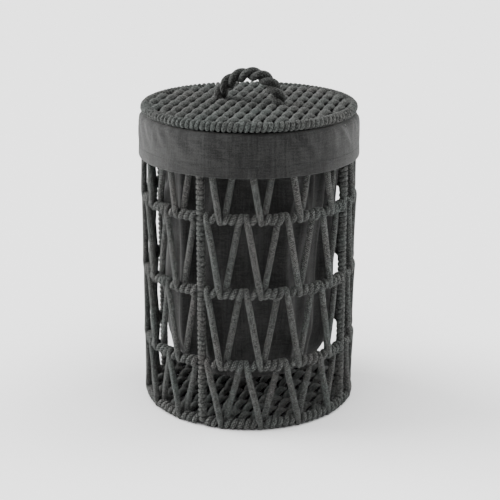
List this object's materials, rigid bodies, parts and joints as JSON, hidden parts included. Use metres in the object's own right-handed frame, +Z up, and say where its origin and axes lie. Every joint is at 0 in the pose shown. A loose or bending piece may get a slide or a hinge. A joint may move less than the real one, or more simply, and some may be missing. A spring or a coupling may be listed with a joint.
{
  "type": "laundry hamper with lid",
  "caption": "Round tall laundry hamper of cord-wrapped steel hoops and zigzag cords, with a lift-out canvas liner and a lift-off woven lid with a rope handle.",
  "frame": {"origin": "centre of the footprint, on the floor", "axes": "+Z up through the middle of the hamper; the four posts stand on the X and Y axes; the lid's rope handle spans along X and the woven cords run along Y"},
  "size_m": [0.3829, 0.383, 0.6022],
  "materials": {
    "cord": "matt charcoal grey knitted cotton cord, about 10 mm, wound, woven and strung",
    "rope": "matt charcoal grey two-strand cotton rope",
    "canvas": "matt charcoal grey linen-look cotton canvas with a stitched hem",
    "steel": "black powder-coated steel rod, hidden under the cord"
  },
  "bodies": {
    "basket": {"base_hoop_rod": "steel", "base_hoop_wrap": "cord", "lower_hoop_rod": "steel", "lower_hoop_wrap": "cord", "middle_hoop_rod": "steel", "middle_hoop_wrap": "cord", "upper_hoop_rod": "steel", "upper_hoop_wrap": "cord", "top_hoop_rod": "steel", "top_hoop_wrap": "cord", "front_post_rod": "steel", "front_post_wrap": "cord", "right_post_rod": "steel", "right_post_wrap": "cord", "back_post_rod": "steel", "back_post_wrap": "cord", "left_post_rod": "steel", "left_post_wrap": "cord", "bottom_row_cord_front_right": "cord", "bottom_row_cord_back_right": "cord", "bottom_row_cord_back_left": "cord", "bottom_row_cord_front_left": "cord", "lower_row_cord_front_right": "cord", "lower_row_cord_back_right": "cord", "lower_row_cord_back_left": "cord", "lower_row_cord_front_left": "cord", "upper_row_cord_front_right": "cord", "upper_row_cord_back_right": "cord", "upper_row_cord_back_left": "cord", "upper_row_cord_front_left": "cord", "top_row_cord_front_right": "cord", "top_row_cord_back_right": "cord", "top_row_cord_back_left": "cord", "top_row_cord_front_left": "cord", "base_bars": "steel", "base_weave": "cord"},
    "liner": {"liner_wall": "canvas", "liner_floor": "canvas", "liner_cuff": "canvas", "liner_hem": "canvas"},
    "lid": {"lid_rim_rod": "steel", "lid_rim_wrap": "cord", "lid_bars": "steel", "lid_weave": "cord", "handle_rope": "rope", "handle_knots": "rope"}
  },
  "joints": [
    {"name": "liner_lift", "type": "slide", "parent": "basket", "child": "liner", "axis": [0, 0, 1], "range_m": [0, 0.55]},
    {"name": "lid_lift", "type": "slide", "parent": "liner", "child": "lid", "axis": [0, 0, 1], "range_m": [0, 0.2]}
  ]
}
